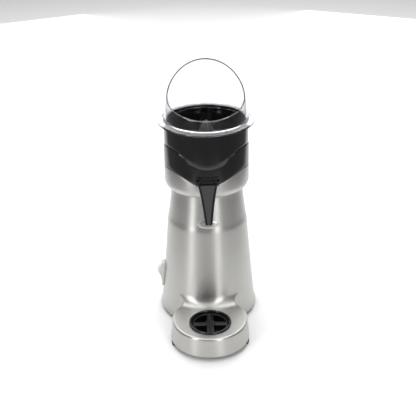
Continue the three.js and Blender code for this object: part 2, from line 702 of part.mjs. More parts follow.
add('body_shell', makeBodyShell(), 'brushedSteel');
add('body_collar', makeCollar(), 'satinAlloy');
add('deck_plate', makeDeckPlate(), 'plainSteel');
add('base_plate', makeBasePlate(), 'plainSteel');
for (const [name, [x, y]] of Object.entries(FEET)) add(name, makeFoot(x, y), 'rubber');
BASE_SCREWS.forEach(([x, y], i) => {
  add(`base_screw_${i + 1}`, makePanScrew(x, y, BASE_Z - 1.9, BASE_Z + 8, true), 'plainSteel');
});
DECK_SCREWS.forEach(([x, y], i) => {
  add(`deck_screw_${i + 1}`, makePanScrew(x, y, DECK_Z + 2.4, DECK_Z - 12, false), 'plainSteel');
});
add('badge_plate', makeBadge(), 'satinAlloy');
add('cord_gland', makeCordGland(), 'rubber');
add('switch_bezel', makeSwitchBezel(), 'silverGrey');
add('switch_body', makeSwitchBody(), 'blackMatt');
add('switch_rocker', makeRocker(), 'silverGrey');

add('upper_end_bracket', makeBracket(230, 1), 'motorIron');
add('lower_end_bracket', makeBracket(130, -1), 'motorIron');
add('stator_core', makeStator(), 'motorIron');
add('upper_winding', washer(31, 47, 210.3, 226, 32), 'copper');
add('lower_winding', washer(31, 47, 134, 149.7, 32), 'copper');
add('upper_bearing', washer(SHAFT_R + GAP, 16, 231, 242, 20), 'plainSteel');
add('lower_bearing', washer(SHAFT_R + GAP, 16, 118, 129, 20), 'plainSteel');
add('motor_mount_plate', makeMotorMount(), 'plainSteel');
DAMPERS.forEach(([x, y], i) => add(`motor_damper_${i + 1}`, makeDamper(x, y), 'rubber'));
add('shaft_seal', washer(SHAFT_R + GAP, 13.7, DECK_Z + 3, DECK_Z + 10, 20), 'rubber');
add('run_capacitor', makeCapacitor(), 'whitePlastic');
add('terminal_block', makeTerminalBlock(), 'whitePlastic');

add('motor_shaft', makeShaft(), 'plainSteel');
add('rotor_core', washer(SHAFT_R + GAP, 28.8, 148, 212, 24), 'motorIron');
add('cooling_fan', makeFan(), 'blackMatt');

add('juice_bowl', makeBowl(), 'blackGloss');
add('spout_chute', makeSpout(), 'blackGloss');
add('strainer', makeStrainer(), 'blackGloss');
add('reamer_cone', makeReamer(), 'darkGrey');
add('drive_insert', makeDriveInsert(), 'plainSteel');
add('splash_hood', makeHood(), 'clear');
add('drip_cup', makeDripCup(), 'blackGloss');
add('drip_grid', makeDripGrid(), 'blackGloss');

// the origin is under the middle of the whole machine, from the rocker to the foot of the body
// and from the front of the tray to the end of the cord gland
const LEFT = ROCKER_PIVOT_X - ROCKER_REACH;
const FRONT = TRAY_Y - TRAY_R;
const REAR = 97.4;
juicer.position.set(-(LEFT + BODY_PROFILE[0][0]) / 2, -(FRONT + REAR) / 2, 0);

const object = new THREE.Group();
object.add(juicer);

export default object;
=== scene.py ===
"""Citrus press juicer: steel body with a round tray, black bowl and spout, clear splash hood."""

import bmesh
import bpy
import numpy as np
from mathutils import Euler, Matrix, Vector


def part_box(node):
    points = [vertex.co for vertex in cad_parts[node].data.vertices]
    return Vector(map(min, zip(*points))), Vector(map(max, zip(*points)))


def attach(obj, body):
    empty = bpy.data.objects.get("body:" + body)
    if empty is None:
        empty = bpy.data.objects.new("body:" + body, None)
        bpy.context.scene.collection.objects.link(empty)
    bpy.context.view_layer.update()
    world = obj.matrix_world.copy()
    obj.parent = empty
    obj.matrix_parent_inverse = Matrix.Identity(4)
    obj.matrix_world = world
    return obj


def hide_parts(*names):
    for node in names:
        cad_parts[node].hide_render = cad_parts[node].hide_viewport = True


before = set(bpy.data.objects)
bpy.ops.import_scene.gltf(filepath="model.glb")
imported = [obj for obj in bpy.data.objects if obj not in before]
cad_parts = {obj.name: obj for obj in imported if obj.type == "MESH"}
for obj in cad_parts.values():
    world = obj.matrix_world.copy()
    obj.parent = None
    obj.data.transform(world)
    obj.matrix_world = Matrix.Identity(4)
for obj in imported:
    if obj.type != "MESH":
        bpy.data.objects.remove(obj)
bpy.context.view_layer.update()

# ---- Viewpoint -----------------------------------------------------------------------------------
# The juicer is seen from in front and above, from a little to its switch side. The aim is given
# from the motor's axis, which every round piece shares.

shaft_low, shaft_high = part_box("motor_shaft")
AXIS = np.array([(shaft_low.x + shaft_high.x) / 2, (shaft_low.y + shaft_high.y) / 2, 0.0])

CAMERA_DISTANCE = 1.445  # level distance from the motor's axis
CAMERA_HEIGHT = 0.920
CAMERA_SIDE = -1.0  # degrees round towards the switch
CAMERA_PITCH = 26.15  # degrees below level
CAMERA_ROLL = -0.8
CAMERA_TURN = -0.06  # degrees that the aim passes beside the axis
CAMERA_LENS = 72.2

side = np.radians(CAMERA_SIDE)
camera_data = bpy.data.cameras.new("camera")
camera_data.lens = CAMERA_LENS
camera = bpy.data.objects.new("camera", camera_data)
camera.location = Vector(AXIS) + Vector((
    CAMERA_DISTANCE * np.sin(side), -CAMERA_DISTANCE * np.cos(side), CAMERA_HEIGHT))
aim = Euler((np.radians(90 - CAMERA_PITCH), 0, side + np.radians(CAMERA_TURN)), "XYZ").to_matrix()
roll = Euler((0, 0, np.radians(CAMERA_ROLL)), "XYZ").to_matrix()
camera.rotation_euler = (aim @ roll).to_euler()
bpy.context.scene.collection.objects.link(camera)
bpy.context.scene.camera = camera
bpy.context.scene.view_settings.view_transform = "Standard"

# ---- Floor and light -----------------------------------------------------------------------------
# A white paper floor under soft light: two tall boxes in front, two behind, a large one overhead and
# a wide one high in front. Beside and in front of the area that the camera sees, painted shade
# darkens the paper to stand for unlit floor, so the steel reflects dark there; the room is dark
# behind the camera, which gives the steel its dark middle band.


class Socket:
    """An output socket. Arithmetic on it adds Math nodes, with numbers or other sockets."""

    def __init__(self, finish, socket):
        self.finish, self.socket = finish, socket

    def _math(self, operation, first, second):
        return self.finish.add("ShaderNodeMath", {"operation": operation}, {0: first, 1: second})

    def __add__(self, other):
        return self._math("ADD", self, other)

    def __sub__(self, other):
        return self._math("SUBTRACT", self, other)

    def __mul__(self, other):
        return self._math("MULTIPLY", self, other)

    __radd__ = __add__
    __rmul__ = __mul__


class Finish:
    """A material in the making. Constants go on the shader's own sockets; add() makes any node."""

    def __init__(self, name, colour, roughness, metallic=0.0, **constants):
        self.data = bpy.data.materials.new(name)
        self.data.use_nodes = True
        self.tree = self.data.node_tree
        self.shader = self.tree.nodes["Principled BSDF"]
        self.colour = colour
        self.fill(self.shader, {"Base Color": (*colour, 1), "Roughness": roughness,
                                "Metallic": metallic, **constants})

    def fill(self, node, inputs):
        for key, value in inputs.items():
            if isinstance(value, Socket):
                self.tree.links.new(value.socket, node.inputs[key])
            else:
                node.inputs[key].default_value = value

    def add(self, kind, settings=None, inputs=None, output=0):
        """Adds a node of a kind, applies its settings, then fills its sockets."""
        node = self.tree.nodes.new(kind)
        for key, value in (settings or {}).items():
            setattr(node, key, value)
        self.fill(node, inputs or {})
        return Socket(self, node.outputs[output])

    def shade(self, **inputs):
        self.fill(self.shader, {key.replace("_", " "): value for key, value in inputs.items()})

    def place(self, scale=(1, 1, 1)):
        """Object coordinates of the surface in metres, multiplied by scale."""
        where = self.add("ShaderNodeTexCoord", output="Object")
        return self.add("ShaderNodeMapping", {}, {"Vector": where, "Scale": scale})

    def noise(self, scale, detail=3.0):
        """Noise from 0 to 1 whose grain along each axis is one over scale, in metres."""
        return self.add("ShaderNodeTexNoise", {}, {
            "Vector": self.place(scale), "Scale": 1.0, "Detail": detail}, "Fac")

    def tint(self, amount, strength):
        """Base colour made lighter or darker by amount (0 to 1 about 0.5) times strength."""
        shift = self.add("ShaderNodeMix", {"data_type": "RGBA", "blend_type": "MIX"}, {
            0: amount,
            6: (*[c * (1 - strength) for c in self.colour], 1),
            7: (*[min(1, c * (1 + strength)) for c in self.colour], 1)}, 2)
        self.shade(Base_Color=shift)

    def bump(self, height, strength, distance):
        self.shade(Normal=self.add("ShaderNodeBump", {}, {
            "Height": height, "Strength": strength, "Distance": distance}))


FLOOR_SIZE = 14.0
# The grey is painted shade on the paper, laid where the floor would lie unlit beside and in front of
# the view.
PAPER_PAINTED_SHADE, PAPER_WHITE = 0.2, 0.93
FRONT_PAINTED_SHADE, FRONT_WHITE = AXIS[1] - 0.95, AXIS[1] - 0.40
SIDE_PAINTED_SHADE, SIDE_WHITE = 0.70, 0.46  # at the origin; the white part widens by SPREAD further back
SPREAD = 0.23
paper = Finish("paper_floor", (PAPER_WHITE,) * 3, 0.9)
ground = paper.add("ShaderNodeSeparateXYZ", {}, {"Vector": paper.place()}, "Y")
aside = paper.add("ShaderNodeMath", {"operation": "ABSOLUTE"}, {
    0: paper.add("ShaderNodeSeparateXYZ", {}, {"Vector": paper.place()}, "X")})
# Share of the paper left white; where it falls to zero the paper carries the painted shade.
unshaded_paper = paper.add("ShaderNodeMapRange", {"interpolation_type": "SMOOTHSTEP"}, {
    "Value": ground, "From Min": FRONT_PAINTED_SHADE, "From Max": FRONT_WHITE})
unshaded_paper = unshaded_paper * paper.add("ShaderNodeMapRange", {"interpolation_type": "SMOOTHSTEP"}, {
    "Value": aside - SPREAD * ground, "From Min": SIDE_PAINTED_SHADE, "From Max": SIDE_WHITE})
paper.shade(Base_Color=paper.add("ShaderNodeMix", {"data_type": "RGBA"}, {
    0: unshaded_paper, 6: (*[PAPER_PAINTED_SHADE] * 3, 1), 7: (*[PAPER_WHITE] * 3, 1)}, 2))
corner = FLOOR_SIZE / 2
floor_mesh = bpy.data.meshes.new("floor")
floor_mesh.from_pydata([(-corner, -corner, 0), (corner, -corner, 0), (corner, corner, 0),
                        (-corner, corner, 0)], [], [(0, 1, 2, 3)])
floor_mesh.materials.append(paper.data)
floor = bpy.data.objects.new("floor", floor_mesh)
bpy.context.scene.collection.objects.link(floor)


def softbox(name, azimuth, elevation, distance, size, power, aim_height=0.25):
    """Area light at an azimuth from the front (left is negative) that faces the juicer."""
    turn, lift = np.radians(azimuth), np.radians(elevation)
    data = bpy.data.lights.new(name, "AREA")
    data.shape = "RECTANGLE"
    data.size, data.size_y = size
    data.energy = power
    lamp = bpy.data.objects.new(name, data)
    target = Vector(AXIS) + Vector((0, 0, aim_height))
    lamp.location = target + distance * Vector((
        np.sin(turn) * np.cos(lift), -np.cos(turn) * np.cos(lift), np.sin(lift)))
    lamp.rotation_euler = (target - lamp.location).to_track_quat("-Z", "Y").to_euler()
    bpy.context.scene.collection.objects.link(lamp)


softbox("left_box", -42, 14, 2.2, (0.5, 2.3), 17)
softbox("right_box", 24, 14, 2.2, (0.46, 2.3), 14.5)
softbox("left_rear_box", -155, 15, 2.4, (1.2, 1.8), 8)
softbox("right_rear_box", 155, 15, 2.4, (1.2, 1.8), 8)
softbox("overhead_box", 180, 70, 2.8, (3.0, 3.0), 79, 0.0)
softbox("front_box", 0, 60, 2.3, (3.6, 1.1), 17, 0.3)

studio = bpy.data.worlds.new("studio")
studio.use_nodes = True
studio_nodes, studio_links = studio.node_tree.nodes, studio.node_tree.links
direction = studio_nodes.new("ShaderNodeTexCoord")
towards = studio_nodes.new("ShaderNodeSeparateXYZ")
depth_of_room = studio_nodes.new("ShaderNodeMapRange")
depth_of_room.inputs["From Min"].default_value = -0.2
depth_of_room.inputs["From Max"].default_value = 0.9
depth_of_room.inputs["To Min"].default_value = 0.16
depth_of_room.inputs["To Max"].default_value = 0.5
studio_links.new(direction.outputs["Generated"], towards.inputs["Vector"])
studio_links.new(towards.outputs["Y"], depth_of_room.inputs["Value"])
studio_links.new(depth_of_room.outputs["Result"], studio_nodes["Background"].inputs["Strength"])
studio_nodes["Background"].inputs["Color"].default_value = (0.98, 0.98, 1.0, 1)
bpy.context.scene.world = studio

# ---- Body and tray -------------------------------------------------------------------------------
# One deep-drawn shell of stainless sheet: a tall round body that narrows upwards, and a low round
# tray in front that flows into it through a hollow rounding. Brushed round the body's axis.

SHEET = 1.5
shell_low, shell_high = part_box("body_shell")
BASE_Z = shell_low.z * 1000
BODY_TOP = shell_high.z * 1000
BODY_BENDS = np.array([
    [BASE_Z, 95.8], [15, 93.4], [24, 91.8], [82, 86], [160, 79], [196, 76.3], [204, 74.4],
    [221, 71.9], [256, 67.6], [272, 66.6]])
TRAY_TOP, TRAY_R, TRAY_DRAFT, TRAY_EDGE = 46, 73.8, 3.2, 3.6
TRAY_REACH = 132.0  # tray centre in front of the motor's axis
NECK_R, FILLET_R = 9, 20
cup_low, cup_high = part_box("drip_cup")
CUP_Y = 1000 * ((cup_low.y + cup_high.y) / 2 - AXIS[1])
HOLE_R = 36.8
STEEPEST = 0.996  # sine of the fillet's slope where it meets the body
BACK, NECK, TRAY = 38, 12, 36  # columns of half the outline: round body, hollow neck, tray


def surface(name, patches, finish, body, stands_for=(), sharp=35):
    """One piece from grids of points (rows, columns, 3), in millimetres from the motor's axis.

    Each cell of a grid is a face with its place in the grid as UV. Points that meet are merged, and
    the faces of the closed result are turned outwards."""
    points, faces, uvs = [], [], []
    start = 0
    for patch in patches:
        rows, columns = patch.shape[:2]
        index = start + np.arange(rows * columns).reshape(rows, columns)
        corners = (index[:-1, :-1], index[1:, :-1], index[1:, 1:], index[:-1, 1:])
        quads = np.stack(corners, -1).reshape(-1, 4)
        row, column = np.divmod(quads - start, columns)
        uvs.append(np.stack((column / (columns - 1), row / (rows - 1)), -1).reshape(-1, 2))
        points.append(patch.reshape(-1, 3))
        faces.append(quads)
        start += rows * columns
    mesh = bpy.data.meshes.new(name)
    mesh.from_pydata((np.concatenate(points) / 1000 + AXIS).tolist(), [],
                     np.concatenate(faces).tolist())
    mesh.uv_layers.new(name="UVMap").data.foreach_set(
        "uv", np.concatenate(uvs).astype(np.float32).ravel())
    shape = bmesh.new()
    shape.from_mesh(mesh)
    bmesh.ops.remove_doubles(shape, verts=shape.verts, dist=2e-6)
    bmesh.ops.dissolve_degenerate(shape, edges=shape.edges, dist=1e-6)
    bmesh.ops.recalc_face_normals(shape, faces=shape.faces)
    for face in shape.faces:
        face.smooth = True
    shape.to_mesh(mesh)
    shape.free()
    mesh.set_sharp_from_angle(angle=np.radians(sharp))
    mesh.materials.append(finish.data)
    piece = bpy.data.objects.new(name, mesh)
    bpy.context.scene.collection.objects.link(piece)
    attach(piece, body)
    if stands_for:
        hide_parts(*stands_for)


def body_radius(z):
    """Radius at a height: straight between the bends, averaged over 8 mm so that they are soft."""
    spread = np.linspace(-4, 4, 17)
    return np.interp(np.asarray(z)[..., None] + spread, *BODY_BENDS.T).mean(-1)


def footprint(z, inset, edge):
    """Right half of the plan at heights z (rows, columns), from the back round to the front.

    Two circles, body and tray, joined by a hollow arc that touches both: its centre is as far from
    each circle's centre as the two radii together. inset thins all of it, edge only the tray."""
    body = body_radius(z) - inset
    tray = TRAY_R - TRAY_DRAFT * (z - BASE_Z) / (TRAY_TOP - BASE_Z) - inset - edge
    neck = NECK_R + inset + edge
    to_body, to_tray = body + neck, tray + neck
    along = (TRAY_REACH**2 + to_body**2 - to_tray**2) / (2 * TRAY_REACH)
    aside = np.sqrt(to_body**2 - along**2)
    body_touch = np.arctan2(aside, along)
    tray_touch = np.arctan2(aside, TRAY_REACH - along)
    column = np.arange(BACK + NECK + TRAY)
    on_body, on_neck = column < BACK, (column >= BACK) & (column < BACK + NECK)
    share = np.select([on_body, on_neck], [column / BACK, (column - BACK) / NECK],
                      (column - BACK - NECK) / (TRAY - 1))
    turn = np.select([on_body, on_neck], [
        np.pi + (body_touch - np.pi) * share,
        body_touch - np.pi + (np.pi - body_touch - tray_touch) * share],
        (np.pi - tray_touch) * (1 - share))
    radius = np.select([on_body, on_neck], [body, neck], tray)
    centre_x = np.where(on_neck, aside, 0)
    centre_y = np.select([on_body, on_neck], [0 * along, -along], -TRAY_REACH)
    return centre_x + radius * np.sin(turn), centre_y - radius * np.cos(turn)


def mirrored(x, y, z):
    """Points of the right half, then of the left half back to the start."""
    half = np.stack(np.broadcast_arrays(x, y, z), -1)
    return np.concatenate((half, half[:, -2::-1] * [-1, 1, 1]), 1)


def shell_skin(inset):
    """Grids of one side of the sheet: wall, rounded edge, tray top round its hole, fillet, body.

    Over the tray, height depends on the distance from the axis alone: level, then an arc of
    FILLET_R up to the body. The rows round the hole, the bottom and the top come with them."""
    top, fillet = TRAY_TOP - inset, FILLET_R + inset
    foot = body_radius(TRAY_TOP + FILLET_R) + FILLET_R * STEEPEST
    top_plan = footprint(np.full((1, BACK + NECK + TRAY), float(TRAY_TOP)), inset, TRAY_EDGE)
    reach = np.hypot(*top_plan)
    climb = np.arcsin(np.clip((foot - reach) / fillet, 0, STEEPEST))
    rim = top + fillet * (1 - np.cos(climb))
    rise = np.array([0, 0.03, 0.07, 0.12, 0.2, 0.35, 0.5, 0.65, 0.8, 0.9, 1])[:, None]
    wall_z = BASE_Z + (rim - TRAY_EDGE - BASE_Z) * rise
    wall = mirrored(*footprint(wall_z, inset, 0), wall_z)
    bend = np.linspace(0, np.pi / 2, 7)[:, None]
    edge_z = rim - TRAY_EDGE * (1 - np.sin(bend))
    edge = mirrored(*footprint(edge_z, inset, TRAY_EDGE * (1 - np.cos(bend))), edge_z)

    column = np.arange(BACK + NECK + TRAY)
    direction = np.arctan2(top_plan[0], -top_plan[1])
    ahead = 1 - (column - BACK) / (NECK + TRAY - 1)
    target = np.where(column < BACK, direction, direction[0, BACK] * ahead)
    share = np.linspace(0, 1, 14)[:, None]
    arc = climb + (np.arcsin(STEEPEST) - climb) * share
    arc_z = top + fillet * (1 - np.cos(arc))
    distance = np.where(column < BACK, body_radius(arc_z) - inset, foot - fillet * np.sin(arc))
    done = np.clip((reach - distance) / np.maximum(reach - distance[-1], 1e-6), 0, 1)
    angle = direction + (target - direction) * done
    curve = mirrored(distance * np.sin(angle), -distance * np.cos(angle), arc_z)
    body_z = np.concatenate((np.linspace(arc_z[-1, 0], 190, 22), np.linspace(192, 209, 14),
                             np.linspace(213, BODY_TOP, 12)))[:, None]
    height = np.broadcast_to(body_z, (len(body_z), len(column)))
    radius = body_radius(height) - inset
    body = mirrored(radius * np.sin(target), -radius * np.cos(target), height)

    level = np.flatnonzero(np.concatenate((reach[0], reach[0, -2::-1])) > foot + 0.2)
    first, last = level[0], level[-1]
    outer, inner = edge[-1], curve[0]
    loop = np.concatenate((outer[first:last + 1], inner[last:first:-1], outer[first:first + 1]))
    centre = np.array([0, CUP_Y, top])
    spoke = loop - centre
    hole = centre + spoke * (HOLE_R / np.linalg.norm(spoke, axis=1, keepdims=True))
    tray_top = hole + (loop - hole) * np.linspace(0, 1, 7)[:, None, None]
    seam = np.stack((outer, inner))
    return {"skin": [wall, edge, curve, np.concatenate((curve[-1:], body[1:])), tray_top,
                     seam[:, :first + 1], seam[:, last:]],
            "hole": hole, "bottom": wall[0], "top": body[-1]}


steel = Finish("brushed_steel", (0.50, 0.495, 0.475), 0.34, 1.0,
               **{"Anisotropic": 0.75, "Anisotropic Rotation": 0.25})
long_grain = steel.noise((14, 14, 1700), 4)
short_grain = steel.noise((420, 420, 900), 3)
patchy = steel.noise((9, 9, 14), 2)
steel.tint(long_grain * 0.5 + patchy * 0.3 + short_grain * 0.2, 0.08)
steel.shade(Roughness=0.27 + 0.10 * long_grain + 0.06 * patchy)
steel.bump(long_grain + 0.4 * short_grain, 0.10, 0.0002)

outside, inside = shell_skin(0.0), shell_skin(SHEET)
rims = [np.stack((outside[edge], inside[edge])) for edge in ("hole", "bottom", "top")]
surface("body_skin", outside["skin"] + inside["skin"] + rims, steel, "housing",
        ["body_shell"])

# ---- Collar --------------------------------------------------------------------------------------
# A cast alloy ring round the top of the body, satin finished. Its lower edge curls in onto the
# body, and its upper edge sweeps down to the spout and up to a crest on each side.

COLLAR_R, COLLAR_IN, COLLAR_LOW, DECK_Z = 79.6, 77.3, 265, 289
CREST_AT, BACK_AT = 57, 117  # degrees from the front where swept edges are highest, then level


def wave(angle, valley, crest, back):
    """Height of a swept edge: valley in front, half a cosine up to the crest at CREST_AT, half a
    cosine down to the back's level at BACK_AT."""
    away = np.abs(angle)
    climb = np.minimum(away / CREST_AT, 1)
    fall = np.clip((away - CREST_AT) / (BACK_AT - CREST_AT), 0, 1)
    front = valley + (crest - valley) * (1 - np.cos(np.pi * climb)) / 2
    rear = back + (crest - back) * (1 + np.cos(np.pi * fall)) / 2
    return np.where(away < CREST_AT, front, rear)


def collar_edge(angle):
    return wave(angle, 291, 311, 296)


def rounded(corners, radii, steps=5):
    """Closed outlines (..., n, 2) whose corners C are softened along the curve
    (1-t)^2 A + 2t(1-t) C + t^2 B, where A and B lie a radius away on the two sides."""
    before = np.roll(corners, 1, -2) - corners
    after = np.roll(corners, -1, -2) - corners
    radii = np.broadcast_to(radii, corners.shape[-2])[:, None]
    a, b = (corners + way * np.minimum(
        radii / np.maximum(np.linalg.norm(way, axis=-1, keepdims=True), 1e-9), 0.48)
        for way in (before, after))
    t = np.linspace(0, 1, steps)[:, None]
    a, b, c = a[..., None, :], b[..., None, :], corners[..., None, :]
    curve = (1 - t) ** 2 * a + 2 * t * (1 - t) * c + t**2 * b
    return curve.reshape(*corners.shape[:-2], -1, 2)


def turned(outline, angles, at=(0.0, 0.0)):
    """Closed outline (n, 2) or (angles, n, 2) of radius and height carried round a vertical axis.

    Angles are degrees from the front, positive to the right."""
    turn = np.radians(angles)[:, None]
    outline = np.broadcast_to(outline, (len(angles), *outline.shape[-2:]))
    outline = np.concatenate((outline, outline[:, :1]), 1)
    radius, height = outline[..., 0], outline[..., 1]
    return np.stack((at[0] + radius * np.sin(turn), at[1] - radius * np.cos(turn), height), -1)


def section(angles, corners):
    """Corners of an outline for each angle or station, each coordinate a number or an array."""
    fixed = [np.broadcast_to(value, len(angles)) for corner in corners for value in corner]
    return np.stack(fixed, -1).reshape(len(angles), -1, 2)


satin = Finish("satin_alloy", (0.50, 0.495, 0.485), 0.36, 1.0,
               **{"Anisotropic": 0.45, "Anisotropic Rotation": 0.25})
satin_grain = satin.noise((30, 30, 1500), 3)
satin.tint(satin.noise((90, 90, 300), 3), 0.04)
satin.shade(Roughness=0.30 + 0.12 * satin_grain)
satin.bump(satin_grain, 0.06, 0.0002)

around = np.linspace(-180, 180, 181)
lip = collar_edge(around)
curl = np.radians(np.linspace(0, 90, 9))
curled = [(69.4 + 10.2 * np.sin(a), COLLAR_LOW + 15 * (1 - np.cos(a)) + 0.1) for a in curl]
collar_outline = section(around, curled + [
    (COLLAR_R, lip), (COLLAR_IN, lip), (COLLAR_IN, DECK_Z - 3), (60, DECK_Z - 3), (60, DECK_Z - 8),
    (69.2, DECK_Z - 14)])
collar_soft = [0.4] + [2] * (len(curl) - 1) + [1.3, 0.5, 1, 1, 1, 1]
surface("collar", [turned(rounded(collar_outline, collar_soft, 4), around)], satin, "housing",
        ["body_collar"])

# ---- Badge ---------------------------------------------------------------------------------------
# A small blank oval plate of bright alloy, pressed to the body's curve and glued on its front.

badge_low, badge_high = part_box("badge_plate")
BADGE_Z = 500 * (badge_low.z + badge_high.z)
BADGE_HALF = np.array([19.4, 6.9])


def badge_side(lift):
    """Rings from the middle out to the oval's edge, standing lift off the body."""
    ring = np.linspace(0, 1, 9)[:, None]
    turn = np.linspace(0, 2 * np.pi, 65)
    x = BADGE_HALF[0] * ring * np.cos(turn)
    z = BADGE_Z + BADGE_HALF[1] * ring * np.sin(turn)
    crown = lift - 0.25 * np.clip((ring - 0.8) / 0.2, 0, 1) ** 2
    return np.stack((x, -np.sqrt((body_radius(z) + crown) ** 2 - x**2), z), -1)


badge_front, badge_rear = badge_side(1.2), badge_side(0.35)
bright = Finish("badge_metal", (0.66, 0.655, 0.64), 0.25, 1.0)
bright.tint(bright.noise((800, 800, 60), 2), 0.05)
bright.bump(bright.noise((900, 900, 900), 2), 0.04, 0.0001)
surface("badge", [badge_front, badge_rear, np.stack((badge_front[-1], badge_rear[-1]))], bright,
        "housing", ["badge_plate"])

# ---- Bottom --------------------------------------------------------------------------------------
# A pressed steel cover closes the bottom and is held by pan-head screws. The juicer stands on four
# moulded rubber feet whose stems plug into the cover.

sheet_metal = Finish("rolled_sheet", (0.48, 0.48, 0.47), 0.42, 1.0)
mill = sheet_metal.noise((700, 40, 40), 3)
sheet_metal.tint(mill, 0.10)
sheet_metal.shade(Roughness=0.36 + 0.14 * mill)
plated = Finish("plated_steel", (0.62, 0.62, 0.61), 0.25, 1.0)
wear = plated.noise((500, 500, 500), 3)
plated.tint(wear, 0.08)
plated.shade(Roughness=0.18 + 0.16 * wear)
rubber = Finish("foot_rubber", (0.010, 0.010, 0.010), 0.78, **{"Specular IOR Level": 0.3})
grip = rubber.noise((900, 900, 900), 3)
rubber.tint(grip, 0.25)
rubber.shade(Roughness=0.66 + 0.2 * grip)
rubber.bump(grip, 0.2, 0.0003)


def dress(finish, *nodes):
    """Gives pieces whose CAD shape stays their finish."""
    for node in nodes:
        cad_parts[node].data.materials.clear()
        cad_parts[node].data.materials.append(finish.data)


dress(sheet_metal, "base_plate")
dress(plated, "base_screw_1", "base_screw_2", "base_screw_3", "base_screw_4")

for foot_name in ("foot_front_left", "foot_front_right", "foot_rear_left", "foot_rear_right"):
    foot_low, foot_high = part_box(foot_name)
    foot_at = [500 * (foot_low[k] + foot_high[k]) - 1000 * AXIS[k] for k in (0, 1)]
    foot_outline = rounded(np.array([
        [0, 0], [7.4, 0], [8, BASE_Z - 0.3], [3, BASE_Z - 0.3], [3, BASE_Z + 4.5],
        [0, BASE_Z + 4.5]]), [0, 1.4, 0.6, 0.2, 0.5, 0], 5)
    surface(foot_name + "_rubber", [turned(foot_outline, np.linspace(-180, 180, 49), foot_at)],
            rubber, "housing", [foot_name])

# ---- Switch --------------------------------------------------------------------------------------
# A tall rocker in a moulded silver-grey frame on the left side, clipped into a cut-out of the
# shell. The rocker's upper half stands proud, and its ends are round about its pivot.

SWITCH_Z, SWITCH_FACE = 69, -93
silver = Finish("silver_plastic", (0.62, 0.62, 0.60), 0.30, **{"Coat Weight": 0.15})
moulded = silver.noise((350, 350, 350), 3)
silver.tint(moulded, 0.05)
silver.shade(Roughness=0.26 + 0.12 * moulded)
silver.bump(moulded, 0.05, 0.0002)


def frame_row(half_width, half_height, power, x):
    """Closed superellipse |y/w|^p + |z/h|^p = 1 at a depth x, or on the body where x is None."""
    turn = np.linspace(0, 2 * np.pi, 73)
    c, s = np.cos(turn), np.sin(turn)
    y = half_width * np.sign(c) * np.abs(c) ** (2 / power)
    z = SWITCH_Z + half_height * np.sign(s) * np.abs(s) ** (2 / power)
    depth = -np.sqrt((body_radius(z) + 0.35) ** 2 - y**2) if x is None else np.full_like(y, x)
    return np.stack((depth, y, z), -1)


frame_rows = np.stack([
    frame_row(12.0, 27.0, 4, None), frame_row(12.0, 27.0, 4, -90.6), frame_row(11.8, 26.8, 4, -92.2),
    frame_row(11.0, 26.0, 4, SWITCH_FACE), frame_row(8.6, 23.4, 5, SWITCH_FACE),
    frame_row(7.4, 22.5, 14, -92.4), frame_row(6.95, 22.2, 20, -91.4), frame_row(6.9, 22.2, 20, -72),
    frame_row(8.2, 22.6, 20, -72), frame_row(8.2, 22.6, 20, -83), frame_row(12.0, 27.0, 4, None)])
surface("switch_frame", [frame_rows], silver, "housing", ["switch_bezel"], 50)

ROCKER_X = -84  # the rocker's pivot
rocker_side = rounded(np.array([
    [3, -12], [-2.1, -20.9], [-8.6, -19.2], [-10.2, -6], [-13.2, 1], [-16.4, 7.2], [-15.9, 13.6],
    [-9, 19], [-2.1, 20.9], [3, 12]]), [1, 1.5, 1.2, 6, 4, 3.5, 3, 6, 1.5, 1], 6)
rocker_across = np.array([[-6.4, 0.4], [-6.2, 0.05], [-5.4, 0], [5.4, 0], [6.2, 0.05], [6.4, 0.4]])
rocker_middle = rocker_side.mean(0)


def rocker_row(y, draw_in):
    """The side view at y, drawn in towards its middle by a distance to soften the edge."""
    way = rocker_middle - rocker_side
    moved = rocker_side + way / np.linalg.norm(way, axis=1, keepdims=True) * draw_in
    moved = np.concatenate((moved, moved[:1]))
    return np.stack((ROCKER_X + moved[:, 0], np.full(len(moved), y), SWITCH_Z + moved[:, 1]), -1)


rocker_rows = [rocker_row(*pair) for pair in rocker_across]
rocker_end = [np.broadcast_to(row.mean(0), row.shape) for row in (rocker_rows[0], rocker_rows[-1])]
surface("rocker", [np.stack([rocker_end[0], *rocker_rows, rocker_end[1]])], silver, "rocker",
        ["switch_rocker"], 50)
black_matt = Finish("black_moulding", (0.016, 0.016, 0.017), 0.5)
black_matt.tint(black_matt.noise((300, 300, 300), 3), 0.2)
dress(black_matt, "switch_body")

# ---- Cord gland ----------------------------------------------------------------------------------
# A turned rubber bush snapped into a hole low at the back, where the mains cord would come out.

dress(rubber, "cord_gland")

# ---- Motor ---------------------------------------------------------------------------------------
# An open induction motor hangs from a plate on three rubber dampers: laminated stator, varnished
# windings, end brackets with ball bearings, and a rotor on the shaft with a moulded fan below.

iron = Finish("laminated_iron", (0.16, 0.165, 0.175), 0.55, 0.8)
sheets = iron.noise((8, 8, 2200), 2)
iron.tint(sheets, 0.3)
iron.bump(sheets, 0.3, 0.0003)
copper = Finish("varnished_copper", (0.42, 0.16, 0.06), 0.35, 0.7, **{"Coat Weight": 0.5})
turns = copper.noise((60, 60, 1400), 2)
copper.tint(turns, 0.4)
copper.bump(turns, 0.5, 0.0005)
white = Finish("white_moulding", (0.72, 0.71, 0.66), 0.45)
white.tint(white.noise((120, 120, 120), 3), 0.05)
dress(iron, "stator_core", "rotor_core", "upper_end_bracket", "lower_end_bracket")
dress(copper, "upper_winding", "lower_winding")
dress(plated, "upper_bearing", "lower_bearing", "motor_shaft")
dress(sheet_metal, "motor_mount_plate")
dress(rubber, "motor_damper_1", "motor_damper_2", "motor_damper_3")
dress(white, "run_capacitor", "terminal_block")
dress(black_matt, "cooling_fan")

# ---- Deck ----------------------------------------------------------------------------------------
# The steel plate that the bowl stands on, screwed to the collar, with a raised neck and a rubber
# lip seal round the shaft.

dress(sheet_metal, "deck_plate")
dress(plated, "deck_screw_1", "deck_screw_2", "deck_screw_3")
dress(rubber, "shaft_seal")

